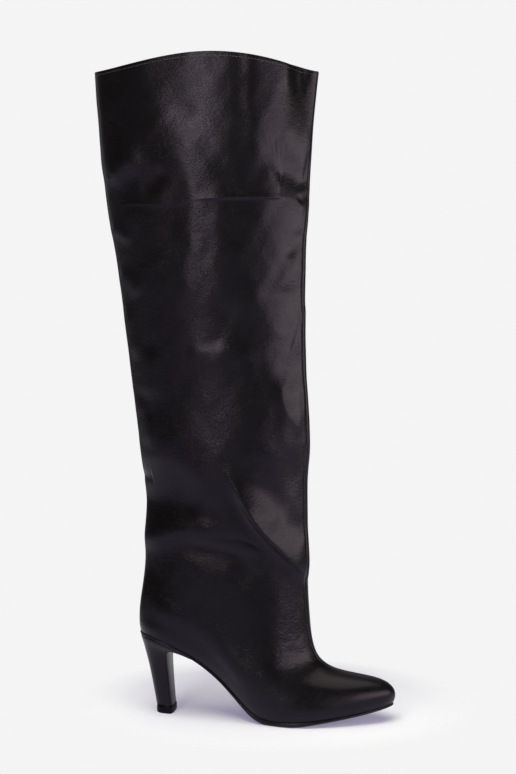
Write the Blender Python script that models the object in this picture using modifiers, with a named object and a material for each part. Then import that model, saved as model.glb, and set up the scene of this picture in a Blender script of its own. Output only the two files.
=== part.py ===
"""Over-the-knee boot for the right foot, on a slim covered heel: five solids in one frame.

+X runs from heel to toe, -Y is the outer side of the foot, +Z is up and the floor is z = 0.
Sizes are millimetres until a mesh is made. The upper is a stack of closed loops, from the feather
line (the edge where the leather meets the sole) to the collar. A loop is given by its front and
back points, by how far it dips with the last's curved bottom, and by a row of half widths.
"""

import math

import bpy
import numpy as np
from mathutils import Matrix

MM = 0.001

# Driving dimensions
WALL = 1.8  # leather and lining
GAP = 0.3  # between pieces that touch
INSOLE = 2.2
INSOLE_INSET = 3.2  # the insole's edge, in from the feather line
SOLE_MARGIN = 0.6  # the outsole's edge, out from the feather line
COLLAR_RISE = 16.5  # the collar's sides above its front and back
COLLAR_FADE = 85.0  # depth over which the rise fades out below the collar
COLLAR_SKEW = 1.2  # 1 puts the rise's top halfway from back to front, more puts it forward
COLLAR_HUMP = 1.3  # how pointed the rise is
TOP_LIFT = 6.8

# Mesh density
AROUND = 56
SOLE_STATIONS = 40
HEEL_AROUND = 32
SHARP_ANGLE = 40.0  # degrees, past which an edge is shaded sharp

# The last's bottom in side view: place along the foot, feather line's height, sole's underside.
# The ball's underside is flat on the floor.
BOTTOM_COLUMNS = ("x", "feather_z", "under_z")
BOTTOM = (
    (-99.5, 78.0, 75.8),
    (-90.0, 77.5, 75.2),
    (-80.0, 75.1, 72.7),
    (-68.5, 70.6, 68.0),
    (-57.0, 65.2, 62.4),
    (-47.0, 59.6, 56.6),
    (-38.0, 53.6, 50.4),
    (-27.0, 45.0, 41.5),
    (-18.0, 36.8, 33.1),
    (-10.0, 28.8, 24.9),
    (0.0, 18.8, 14.5),
    (10.0, 10.4, 5.6),
    (22.0, 5.6, 0.4),
    (34.0, 4.7, -0.2),
    (47.0, 5.0, -0.1),
    (61.0, 6.0, 1.3),
    (75.0, 7.3, 3.6),
    (92.0, 9.3, 6.2),
    (110.0, 12.0, 9.2),
    (125.0, 14.7, 12.0),
    (138.0, 17.2, 14.6),
)

# The upper in side view, a row for each loop: its front point, its back point, and its dip, which
# is the share of the feather line's own curve that the loop keeps.
PROFILE_COLUMNS = ("front_x", "front_z", "back_x", "back_z", "dip")
PROFILE = (
    (138.0, 17.2, -99.5, 78.0, 1.00),
    (139.8, 21.2, -100.2, 81.2, 1.00),
    (140.0, 25.6, -100.6, 84.4, 1.00),
    (138.0, 30.4, -100.7, 87.6, 1.00),
    (133.0, 34.9, -100.7, 91.0, 1.00),
    (124.5, 38.6, -100.6, 94.6, 1.00),
    (112.5, 41.2, -100.4, 98.4, 1.00),
    (99.5, 43.3, -100.0, 102.4, 1.00),
    (87.0, 46.1, -99.5, 107.0, 1.00),
    (76.8, 50.6, -98.8, 112.4, 0.99),
    (69.2, 57.4, -97.8, 119.0, 0.96),
    (64.6, 67.0, -96.7, 127.2, 0.90),
    (61.9, 80.0, -95.5, 137.0, 0.80),
    (60.3, 97.0, -94.6, 149.0, 0.64),
    (58.9, 118.0, -94.0, 163.0, 0.45),
    (58.0, 142.0, -93.9, 179.0, 0.27),
    (57.5, 168.0, -94.6, 198.0, 0.13),
    (57.4, 196.0, -95.9, 220.0, 0.05),
    (57.5, 226.0, -97.9, 244.0, 0.01),
    (57.5, 256.0, -100.5, 269.0, 0.00),
    (56.9, 288.0, -104.0, 296.0, 0.00),
    (56.1, 322.0, -108.0, 326.0, 0.00),
    (55.4, 358.0, -112.0, 359.0, 0.00),
    (55.2, 395.0, -116.4, 395.0, 0.00),
    (56.0, 432.0, -121.6, 432.0, 0.00),
    (58.0, 468.0, -128.0, 468.0, 0.00),
    (60.0, 503.0, -132.6, 503.0, 0.00),
    (62.0, 536.0, -135.8, 536.0, 0.00),
    (64.8, 567.0, -138.0, 567.5, 0.00),
    (67.8, 594.4, -139.6, 595.4, 0.00),
)

# Half widths of the ellipse that a loop follows, at six places along it from back to front.
PLACES = (0.0, 0.12, 0.35, 0.62, 0.85, 1.0)
WIDTH_COLUMNS = ("row", "heel", "seat", "waist", "ball", "vamp", "tip")
WIDTHS = (
    (0, 56.5, 41.5, 23.5, 39.5, 38.0, 35.0),
    (2, 58.0, 44.0, 27.5, 42.5, 40.5, 37.0),
    (5, 54.0, 43.5, 31.5, 42.0, 40.0, 38.0),
    (8, 49.0, 42.0, 33.5, 39.5, 42.5, 38.0),
    (11, 44.0, 39.5, 34.5, 37.0, 42.0, 38.5),
    (14, 36.0, 36.0, 34.5, 35.0, 37.0, 37.0),
    (17, 32.0, 33.5, 34.5, 34.5, 34.5, 34.0),
    (21, 32.0, 35.0, 37.0, 37.0, 36.0, 34.0),
    (25, 33.5, 37.0, 39.5, 39.5, 38.0, 35.0),
    (29, 35.0, 38.0, 40.5, 40.5, 39.0, 36.0),
)

# How far the last's centre line lies towards the inner side, at the same six places.
BEND = (0.0, -0.3, -1.5, -1.2, 1.6, 3.5)
BEND_ROWS = 12  # rows over which the bend fades out

# The heel from the sole down, a row for each loop: its back and breast, its half width, how square
# it is (2 is round), its height, and the share of the seat's slope that it keeps.
HEEL_COLUMNS = ("back_x", "breast_x", "half_width", "square", "z", "slope")
HEEL_SEAT_X = -72.0  # where the seat has the first row's height
HEEL = (
    (-99.2, -46.0, 26.2, 2.7, 69.2, 1.00),
    (-98.6, -57.0, 25.0, 2.7, 66.8, 1.00),
    (-97.8, -65.5, 22.8, 2.6, 64.0, 0.97),
    (-96.8, -69.6, 20.2, 2.5, 60.8, 0.85),
    (-95.5, -71.4, 17.8, 2.4, 56.6, 0.60),
    (-93.8, -72.0, 15.8, 2.4, 51.2, 0.35),
    (-91.8, -71.6, 14.4, 2.4, 44.0, 0.15),
    (-89.6, -70.9, 13.4, 2.4, 34.0, 0.00),
    (-87.0, -69.8, 12.6, 2.4, 20.0, 0.00),
    (-84.7, -68.6, 12.0, 2.4, 7.1, 0.00),
)
LIFT = {"back_x": -84.4, "breast_x": -68.5, "half_width": 12.2, "square": 2.4}


def spline(places, values):
    """A natural cubic through a table's values: its second derivatives solve the usual
    three-term system, and the curve between two places follows from them."""
    x = np.asarray(places, float)
    y = np.asarray(values, float)
    step = np.diff(x)
    system = np.eye(len(x))
    right = np.zeros(len(x))
    for i in range(1, len(x) - 1):
        system[i, i - 1 : i + 2] = step[i - 1], 2 * (step[i - 1] + step[i]), step[i]
        right[i] = 6 * ((y[i + 1] - y[i]) / step[i] - (y[i] - y[i - 1]) / step[i - 1])
    second = np.linalg.solve(system, right)

    def curve(at):
        at = np.clip(at, x[0], x[-1])
        i = np.clip(np.searchsorted(x, at) - 1, 0, len(step) - 1)
        a = (x[i + 1] - at) / step[i]
        b = 1 - a
        curved = ((a**3 - a) * second[i] + (b**3 - b) * second[i + 1]) * step[i] ** 2 / 6
        return a * y[i] + b * y[i + 1] + curved

    return curve


def column(rows, columns, name):
    return np.array([row[columns.index(name)] for row in rows], float)


def table(rows, columns, key):
    """Each column as a curve over the key: a column's name, or None for the row's number."""
    places = np.arange(len(rows)) if key is None else column(rows, columns, key)
    return {name: spline(places, column(rows, columns, name)) for name in columns}


bottom = table(BOTTOM, BOTTOM_COLUMNS, "x")
profile = table(PROFILE, PROFILE_COLUMNS, None)
widths = table(WIDTHS, WIDTH_COLUMNS, "row")
bend = spline(PLACES, BEND)


def feather_dip(x):
    """How far the feather line lies off the straight line between its heights under the ends of
    a loop, at the loop's places x."""
    height = bottom["feather_z"](x)
    back, front = height[np.argmin(x)], height[np.argmax(x)]
    return height - back - (front - back) * (x - x.min()) / (x.max() - x.min())


def half_width(row, s):
    """The ellipse's half width at share s along the loop of this row."""
    return spline(PLACES, [widths[name](row) for name in WIDTH_COLUMNS[1:]])(s)


def loop(row, turn):
    """A loop's points: turn runs from the back (0) round the inner side to the front (pi) and on
    round the outer side. The share s from back to front is (1 - cos turn) / 2, so equal half
    widths all along give an ellipse."""
    s = (1 - np.cos(turn)) / 2
    back_x, back_z = profile["back_x"](row), profile["back_z"](row)
    front_x, front_z = profile["front_x"](row), profile["front_z"](row)
    x = back_x + (front_x - back_x) * s
    fade = np.clip(1 - row / BEND_ROWS, 0, 1)
    y = np.sin(turn) * half_width(row, s) + bend(s) * fade**2 * (3 - 2 * fade)
    z = back_z + (front_z - back_z) * s + profile["dip"](row) * feather_dip(x)
    return np.stack([x, y, z + collar_rise(s, z)], axis=-1)


def collar_rise(s, z):
    """The collar's sides stand above its front and back: a hump a little forward of the middle,
    which fades out down the shaft."""
    skewed = s**COLLAR_SKEW
    hump = (4 * skewed * (1 - skewed)) ** COLLAR_HUMP
    low = PROFILE[-1][1] - COLLAR_FADE
    fade = np.clip((z - low) / COLLAR_FADE, 0, 1)
    return COLLAR_RISE * hump * fade**2


def new_object(name, points, faces, collection):
    mesh = bpy.data.meshes.new(name)
    mesh.from_pydata((np.asarray(points) * MM).tolist(), [], faces)
    mesh.validate()
    mesh.shade_smooth()
    mesh.set_sharp_from_angle(angle=math.radians(SHARP_ANGLE))
    made = bpy.data.objects.new(name, mesh)
    collection.objects.link(made)
    return made


def finish(made, colour, roughness, metallic=0.0):
    """The piece's own Principled material."""
    material = bpy.data.materials.new(made.name)
    material.use_nodes = True
    shader = material.node_tree.nodes["Principled BSDF"]
    shader.inputs["Base Color"].default_value = (*colour, 1.0)
    shader.inputs["Roughness"].default_value = roughness
    shader.inputs["Metallic"].default_value = metallic
    made.data.materials.append(material)


def band(loops, around):
    """Quads between neighbouring closed loops of equally many points. They face outwards where
    the loops turn clockwise from above and go up, or turn the other way and go down."""
    return [
        (i * around + j, (i + 1) * around + j,
         (i + 1) * around + (j + 1) % around, i * around + (j + 1) % around)
        for i in range(loops - 1)
        for j in range(around)
    ]


def upper(collection):
    """Shaft and vamp: the open stack of loops, thickened inwards. Both its ends stay open."""
    turn = np.linspace(0, 2 * math.pi, AROUND, endpoint=False)
    points = np.concatenate([loop(row, turn) for row in range(len(PROFILE))])
    made = new_object("upper", points, band(len(PROFILE), AROUND), collection)
    wall = made.modifiers.new("wall", "SOLIDIFY")
    wall.thickness = WALL * MM
    wall.offset = -1.0
    wall.use_even_offset = True
    finish(made, (0.012, 0.011, 0.013), 0.38)
    return made


def outline(margin):
    """The feather line in plan, moved out by margin: places along the foot and, at each, the
    outer and inner side's y. The first and last place are single points."""
    turn = np.linspace(0, math.pi, SOLE_STATIONS + 1)
    s = (1 - np.cos(turn)) / 2
    inner = loop(0, turn)
    outer = loop(0, -turn)
    x = inner[:, 0] - margin * np.cos(turn)
    return x, outer[:, 1] - margin * np.sin(turn), inner[:, 1] + margin * np.sin(turn)


def slab(name, margin, under, over, collection):
    """A sheet of sole: the outline between two curves of height along the foot."""
    x, outer, inner = outline(margin)
    ends = np.clip(x, BOTTOM[0][0], BOTTOM[-1][0])
    count = len(x)
    ring_x = np.concatenate([x, x[-2:0:-1]])
    ring_y = np.concatenate([inner, outer[-2:0:-1]])
    ring_at = np.concatenate([ends, ends[-2:0:-1]])
    around = len(ring_x)
    low = np.stack([ring_x, ring_y, under(ring_at)], axis=-1)
    high = np.stack([ring_x, ring_y, over(ring_at)], axis=-1)
    faces = band(2, around)
    for i in range(count - 1):
        here, there = (around - i) % around, around - i - 1
        corners = [i, i + 1, there] if i == 0 else [i, i + 1, there, here]
        if i == count - 2:
            corners = [i, i + 1, here]
        faces.append(tuple(corners))
        faces.append(tuple(corner + around for corner in reversed(corners)))
    return new_object(name, np.concatenate([low, high]), faces, collection)


def floor_flat(x):
    """The sole's underside, which is flat where it stands on the floor."""
    return np.maximum(bottom["under_z"](x), 0)


def outsole(collection):
    made = slab("outsole", SOLE_MARGIN, floor_flat, lambda x: bottom["feather_z"](x) - GAP, collection)
    finish(made, (0.01, 0.01, 0.011), 0.45)
    return made


def insole(collection):
    made = slab(
        "insole",
        -INSOLE_INSET,
        bottom["feather_z"],
        lambda x: bottom["feather_z"](x) + INSOLE,
        collection,
    )
    finish(made, (0.02, 0.019, 0.02), 0.8)
    return made


def heel_outline(size):
    """A heel's section in plan: a squared half ellipse round the back, and a flat breast."""
    turn = np.linspace(-math.pi / 2, math.pi / 2, HEEL_AROUND)
    reach = np.abs(np.cos(turn)) ** (2 / size["square"])
    side = np.abs(np.sin(turn)) ** (2 / size["square"]) * np.sign(turn)
    length = size["breast_x"] - size["back_x"]
    return size["breast_x"] - length * reach, -size["half_width"] * side


def heel(collection):
    """Loops from the sole's underside down to the top lift, capped at both ends."""
    seat = bottom["under_z"]
    points = []
    for row in HEEL:
        size = dict(zip(HEEL_COLUMNS, row))
        x, y = heel_outline(size)
        height = size["z"] + size["slope"] * (seat(x) - seat(HEEL_SEAT_X))
        points.append(np.stack([x, y, np.minimum(height, seat(x) - GAP)], axis=-1))
    points[0][:, 2] = seat(points[0][:, 0]) - GAP
    faces = band(len(HEEL), HEEL_AROUND)
    faces += across(0, flip=False)
    faces += across((len(HEEL) - 1) * HEEL_AROUND, flip=True)
    made = new_object("heel", np.concatenate(points), faces, collection)
    finish(made, (0.012, 0.011, 0.013), 0.35)
    return made


def across(first, flip):
    """Faces across a heel's section whose points start at first, each between a pair of points
    and the pair that mirrors it."""
    last = first + HEEL_AROUND - 1
    faces = []
    for i in range(HEEL_AROUND // 2 - 1):
        corners = [first + i, first + i + 1, last - i - 1, last - i]
        faces.append(tuple(reversed(corners)) if flip else tuple(corners))
    return faces


def heel_tip(collection):
    x, y = heel_outline(LIFT)
    low = np.stack([x, y, np.zeros_like(x)], axis=-1)
    high = low + (0, 0, TOP_LIFT)
    faces = band(2, HEEL_AROUND)
    faces += across(0, flip=False)
    faces += across(HEEL_AROUND, flip=True)
    made = new_object("heel_tip", np.concatenate([high, low]), faces, collection)
    finish(made, (0.015, 0.015, 0.015), 0.6)
    return made


def centre(pieces):
    """Moves the pieces so that the middle of their box stands over the origin."""
    corners = np.array([v.co for piece in pieces for v in piece.data.vertices])
    middle = (corners.min(axis=0) + corners.max(axis=0)) / 2
    for piece in pieces:
        piece.data.transform(Matrix.Translation((-middle[0], -middle[1], 0)))


def main():
    for old in list(bpy.data.objects):
        bpy.data.objects.remove(old)
    boot = bpy.data.collections.new("boot")
    bpy.context.scene.collection.children.link(boot)
    centre([make(boot) for make in (upper, outsole, insole, heel, heel_tip)])


if __name__ == "__main__":
    main()
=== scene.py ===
# %% [markdown]
# # A black over-the-knee boot
# The real boot is a long tube of thin leather, pulled at the bottom over a high-heeled last and
# closed by a thin sole, a covered heel and a small top lift. An empty shaft never stands smooth: it
# flattens, and soft folds run through it from the knee and the ankle.
#
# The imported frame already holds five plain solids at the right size. This lesson lays a finished
# surface over each of them. Nearly every piece is a formula on a grid of two parameters, because a
# boot is a stack of closed loops, and everything that lies on the leather can then be placed with
# the same two numbers.

# %% Load the frame
import math

import bpy
import numpy as np
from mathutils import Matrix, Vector


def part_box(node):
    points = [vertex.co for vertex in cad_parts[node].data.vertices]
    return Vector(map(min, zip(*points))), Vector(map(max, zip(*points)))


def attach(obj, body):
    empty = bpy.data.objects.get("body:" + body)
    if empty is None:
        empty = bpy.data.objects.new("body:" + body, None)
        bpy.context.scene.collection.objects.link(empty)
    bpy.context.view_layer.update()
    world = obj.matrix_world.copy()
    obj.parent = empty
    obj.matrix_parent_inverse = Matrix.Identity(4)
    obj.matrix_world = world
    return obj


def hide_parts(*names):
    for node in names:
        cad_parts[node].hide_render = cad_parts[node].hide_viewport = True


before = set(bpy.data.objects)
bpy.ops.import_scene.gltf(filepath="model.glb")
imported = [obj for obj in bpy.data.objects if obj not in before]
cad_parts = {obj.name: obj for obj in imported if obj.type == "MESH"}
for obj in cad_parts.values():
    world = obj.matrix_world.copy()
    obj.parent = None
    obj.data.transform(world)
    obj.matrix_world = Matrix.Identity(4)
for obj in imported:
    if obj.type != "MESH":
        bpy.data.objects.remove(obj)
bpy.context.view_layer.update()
MM = 0.001

# %% [markdown]
# ## Camera
# A long lens from low down, a little towards the toe, shows the outer side almost as a drawing does.
# A short lens from close by would swell the middle of the shaft and shrink the collar and the toe,
# which are further off. From this distance a lens of 91 mm lets the boot fill most of the frame.

# %% Camera
AZIMUTH, ELEVATION = math.radians(10.0), math.radians(6.2)
DISTANCE = 1.8
LENS = 91.0
CLIP = (0.05, 50.0)
TARGET = Vector((0.0115, 0.001, 0.3088))

toward = Vector((
    math.sin(AZIMUTH) * math.cos(ELEVATION),
    -math.cos(AZIMUTH) * math.cos(ELEVATION),
    math.sin(ELEVATION),
))
camera = bpy.data.objects.new("camera", bpy.data.cameras.new("camera"))
bpy.context.scene.collection.objects.link(camera)
camera.data.lens = LENS
camera.data.clip_start, camera.data.clip_end = CLIP
camera.location = TARGET + DISTANCE * toward
camera.rotation_euler = (-toward).to_track_quat("-Z", "Y").to_euler()
bpy.context.scene.camera = camera
print("camera at", [round(c, 3) for c in camera.location])

# %% [markdown]
# ## Node recipes
# A material is a graph of nodes. Each node could be made and linked in lines of its own, but then a
# simple sum takes ten lines, and nobody sees that it is a sum. So one small class wraps a socket and
# gives it Python's operators: `1 - mask * 0.5` then adds the Math nodes by itself. Everything else is
# made by one method that takes a node's type, its settings and its sockets.

# %% Socket arithmetic and node recipes
class Wire:
    """A node's output, on which plain arithmetic adds Math nodes."""

    def __init__(self, recipe, socket):
        self.recipe = recipe
        self.socket = socket

    def math(self, operation, first, second=0.0, **settings):
        settings["operation"] = operation
        return self.recipe.node("ShaderNodeMath", settings, {0: first, 1: second})

    def __add__(self, other):
        return self.math("ADD", self, other)

    def __sub__(self, other):
        return self.math("SUBTRACT", self, other)

    def __rsub__(self, other):
        return self.math("SUBTRACT", other, self)

    def __mul__(self, other):
        return self.math("MULTIPLY", self, other)

    def clamped(self):
        """The same value, kept between 0 and 1."""
        return self.math("ADD", self, 0.0, use_clamp=True)

    __radd__ = __add__
    __rmul__ = __mul__


class Recipe:
    """A node tree that is filled by calls: a material's, or the world's."""

    def __init__(self, tree):
        self.tree = tree

    def node(self, kind, settings=None, sockets=None, output=0):
        """A new node of a kind: its settings are set first, then its sockets are fed."""
        made = self.tree.nodes.new(kind)
        for name, value in (settings or {}).items():
            if name == "stops":
                self.set_stops(made.color_ramp, value)
            else:
                setattr(made, name, value)
        for name, value in (sockets or {}).items():
            self.feed(made.inputs[name], value)
        return Wire(self, made.outputs[output]) if len(made.outputs) else None

    def feed(self, socket, value):
        """Links a wire to a socket, or sets the socket to a plain value."""
        if isinstance(value, Wire):
            self.tree.links.new(value.socket, socket)
        else:
            socket.default_value = value

    def mix(self, factor, first, second):
        """Colours mixed by a factor; a plain colour is given as red, green and blue."""
        pair = [(*colour, 1.0) if isinstance(colour, tuple) else colour for colour in (first, second)]
        return self.node("ShaderNodeMix", {"data_type": "RGBA"}, {0: factor, 6: pair[0], 7: pair[1]}, 2)

    def spread(self, place, centre, reach):
        """How far a place is from a centre: the length of (place - centre) / reach, axis by axis."""
        offset = self.node("ShaderNodeVectorMath", {"operation": "SUBTRACT"}, {0: place, 1: centre})
        scaled = self.node("ShaderNodeVectorMath", {"operation": "DIVIDE"}, {0: offset, 1: reach})
        return self.node("ShaderNodeVectorMath", {"operation": "LENGTH"}, {0: scaled}, "Value")

    @staticmethod
    def set_stops(ramp, stops):
        while len(ramp.elements) < len(stops):
            ramp.elements.new(0.5)
        for element, (place, value) in zip(ramp.elements, stops):
            element.position = place
            element.color = (value, value, value, 1.0)


print("node recipes ready")

# %% [markdown]
# ## The studio
# Black leather shows hardly anything of its own colour. What the eye reads is the reflection of the
# lamps, so they are placed as a product studio has them: a tall narrow strip beside the camera, a
# big soft box close by on the toe's side, a weak one behind the heel and a large one overhead. One
# more hangs over the floor. It isn't reflected, and only gives the boot its soft shadow.
#
# The room round the lamps could be a panorama. Here it is a few even shades with soft borders between
# them, because each of those can be set by itself. The room is dim, and only the backdrop that the
# camera sees is pale. Light comes up from the ground into the leather that leans down.
#
# The floor is a small disc of pale paper. Near the boot the paper takes the lamps' light, and the
# shadow with it. Further out it glows by itself, exactly as pale as the backdrop, so its edge
# doesn't show. A wide plain floor would turn grey towards its far edge, where less light arrives.

# %% Room
BACKDROP = 0.905
WALLS, WALLS_HEEL_SIDE = (0.04, 0.038, 0.04), (0.04, 0.022, 0.02)
HORIZON, HORIZON_HEEL_SIDE = (0.13, 0.128, 0.14), (0.10, 0.052, 0.052)
GROUND, BEHIND, RIM = (0.95, 0.90, 0.95), (0.01, 0.01, 0.012), (0.30, 0.27, 0.34)
# A border between two parts of the room is start + slope * look, kept between 0 and 1. The look is
# how far a direction points along an axis.
HEEL_SIDE_BORDER, HORIZON_BORDER, GROUND_BORDER = (0.2, -1.5), (0.5, -8.0), (-0.8, -6.0)
BEHIND_BORDER, RIM_BORDER, NOT_GROUND_BORDER = (0.0, 3.0), (-3.6, 5.0), (2.4, 8.0)

bpy.context.scene.view_settings.view_transform = "Standard"
world = bpy.data.worlds.new("studio")
world.use_nodes = True
bpy.context.scene.world = world
world.node_tree.nodes.clear()
room = Recipe(world.node_tree)
direction = room.node("ShaderNodeTexCoord", output="Generated")
sideways_look, away_look, upward_look = (
    room.node("ShaderNodeSeparateXYZ", None, {"Vector": direction}, axis) for axis in "XYZ"
)


def border(look, start_and_slope):
    """A share that is 0 on one side of a border and 1 on the other."""
    start, slope = start_and_slope
    return (start + look * slope).clamped()


towards_heel = border(sideways_look, HEEL_SIDE_BORDER)
not_ground = border(upward_look, NOT_GROUND_BORDER)
walls = room.mix(towards_heel, WALLS, WALLS_HEEL_SIDE)
horizon = room.mix(towards_heel, HORIZON, HORIZON_HEEL_SIDE)
above = room.mix(border(upward_look, HORIZON_BORDER), walls, horizon)
around = room.mix(border(upward_look, GROUND_BORDER), above, GROUND)
dim = room.mix(border(away_look, BEHIND_BORDER) * not_ground, around, BEHIND)
rimmed = room.mix(border(away_look, RIM_BORDER) * not_ground, dim, RIM)
glow = room.node("ShaderNodeBackground", None, {"Color": rimmed, "Strength": 1.0})
pale = room.node("ShaderNodeBackground", None, {"Color": (1, 1, 1, 1), "Strength": BACKDROP})
seen = room.node("ShaderNodeLightPath", output="Is Camera Ray")
either = room.node("ShaderNodeMixShader", None, {0: seen, 1: glow, 2: pale})
room.node("ShaderNodeOutputWorld", None, {"Surface": either})
print("room with", len(world.node_tree.nodes), "nodes")

# %% Floor
FLOOR_RADIUS = 0.46


def grid_faces(rows, across, closed=False, flip=False):
    """Quads between neighbouring rows of points. Closed joins the last column to the first."""
    index = np.arange(rows * across).reshape(rows, across)
    here = index if closed else index[:, :-1]
    ahead = np.roll(index, -1, axis=1) if closed else index[:, 1:]
    corners = [here[:-1], here[1:], ahead[1:], ahead[:-1]]
    faces = np.stack(corners, axis=-1).reshape(-1, 4)
    return (faces[:, ::-1] if flip else faces).tolist()


def disc(name, radius, rings=24, around=96):
    """A flat disc: rings of points at evenly growing radii, with one face inside the smallest."""
    angle = np.linspace(0, 2 * np.pi, around, endpoint=False)
    reach = np.linspace(0, radius, rings + 1)[1:]
    x = reach[:, None] * np.cos(angle)
    y = reach[:, None] * np.sin(angle)
    points = np.stack([x, y, np.zeros_like(x)], axis=-1).reshape(-1, 3)
    faces = [*grid_faces(rings, around, closed=True), list(range(around))]
    mesh = bpy.data.meshes.new(name)
    mesh.from_pydata(points.tolist(), [], faces)
    made = bpy.data.objects.new(name, mesh)
    bpy.context.scene.collection.objects.link(made)
    return made


floor = disc("floor", FLOOR_RADIUS)
print("floor", len(floor.data.polygons), "faces")

# %% Floor paper
FLOOR_PALE = 0.62
CHANNELS = ("Red", "Green", "Blue")
# The paper's own colour, and the colour that it has under the lamps.
PAPER, PAPER_LIT = (0.86, 0.90, 1.0), (0.86, 0.89, 0.77)
SHADOW_CENTRE, SHADOW_REACH = (0.02, 0.05, 0.0), (0.15, 0.13, 1.0)
SHADOW_END, SHADOW_SOFTNESS = 1.3, 3.0
# How brightly the lamps light the paper under the boot's middle, and how much more per metre
# towards the toe.
FLOOR_LIT, FLOOR_LIT_SLOPE = 1.35, 0.18

paper = bpy.data.materials.new("floor_paper")
paper.use_nodes = True
paper.node_tree.nodes.clear()
sheet = Recipe(paper.node_tree)
spot = sheet.node("ShaderNodeTexCoord", output="Object")
far = sheet.spread(spot, SHADOW_CENTRE, SHADOW_REACH)
towards_toe = sheet.node("ShaderNodeSeparateXYZ", None, {"Vector": spot}, "X")
share = ((SHADOW_END - far) * SHADOW_SOFTNESS).clamped() * FLOOR_PALE
lamplight = share * (FLOOR_LIT + towards_toe * FLOOR_LIT_SLOPE)
white = sheet.node("ShaderNodeCombineColor", None, {
    channel: share * part for channel, part in zip(CHANNELS, PAPER)})
rest = sheet.node("ShaderNodeCombineColor", None, {
    channel: BACKDROP - lamplight * part for channel, part in zip(CHANNELS, PAPER_LIT)})
shaded = sheet.node("ShaderNodeBsdfDiffuse", None, {"Color": white})
lit = sheet.node("ShaderNodeEmission", None, {"Color": rest})
both = sheet.node("ShaderNodeAddShader", None, {0: shaded, 1: lit})
sheet.node("ShaderNodeOutputMaterial", None, {"Surface": both})
floor.data.materials.append(paper)
print("paper with", len(paper.node_tree.nodes), "nodes")

# %% Lamps
# Each lamp: azimuth from the boot's outer side towards the toe, distance and height of its middle,
# the height that it faces, its width and height, the brightness of its face, and its colour.
# The last one is left out of all reflections.
LAMP_COLUMNS = ("azimuth", "distance", "z", "aim_z", "width", "height", "brightness", "colour")
UNREFLECTED = ("floor_light",)
NEUTRAL, WARM, COOL = (1.0, 0.99, 0.77), (1.0, 0.97, 0.76), (0.75, 0.78, 0.80)
LAMPS = {
    "strip": (-14.5, 1.9, 1.04, 1.04, 0.26, 1.42, 13.5, NEUTRAL),
    "softbox": (69.0, 1.25, 0.385, 0.385, 1.54, 0.51, 4.9, WARM),
    "heel_side": (-122.0, 1.8, 0.90, 0.90, 0.45, 1.40, 0.8, COOL),
    "overhead": (160.0, 0.3, 2.20, 0.30, 2.40, 2.00, 1.8, NEUTRAL),
    "floor_light": (-10.0, 0.55, 1.50, 0.00, 1.00, 1.00, 7.4, NEUTRAL),
}


def lamp(name, azimuth, distance, z, aim_z, width, height, brightness, colour):
    """A rectangle of light that faces the boot. Its power is its face's brightness times its area
    times pi."""
    light = bpy.data.lights.new(name, "AREA")
    light.shape = "RECTANGLE"
    light.size, light.size_y = width, height
    light.energy = brightness * width * height * math.pi
    light.color = colour
    made = bpy.data.objects.new(name, light)
    turn = math.radians(azimuth)
    made.location = (distance * math.sin(turn), -distance * math.cos(turn), z)
    made.rotation_euler = (Vector((0, 0, aim_z)) - made.location).to_track_quat("-Z", "Y").to_euler()
    made.visible_camera = False
    made.visible_glossy = name not in UNREFLECTED
    bpy.context.scene.collection.objects.link(made)


for name, row in LAMPS.items():
    lamp(name, **dict(zip(LAMP_COLUMNS, row)))
print(len(LAMPS), "lamps")

# %% [markdown]
# ## The last and the shaft
# A shoemaker's last has no simple formula, so its side view is a short table: where each loop of the
# boot has its front and its back, and how far it dips with the curved bottom. A second table says how
# wide the loops are. A smooth curve through each column gives every loop between the rows, and the
# whole upper becomes one function of two numbers: the row, which climbs from the sole to the collar,
# and the turn, which goes round. A sculpted mesh could have the same shape, but it couldn't say where
# a seam or a stitch lies on it. These are the frame's own tables, so the surface fits the frame.

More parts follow.
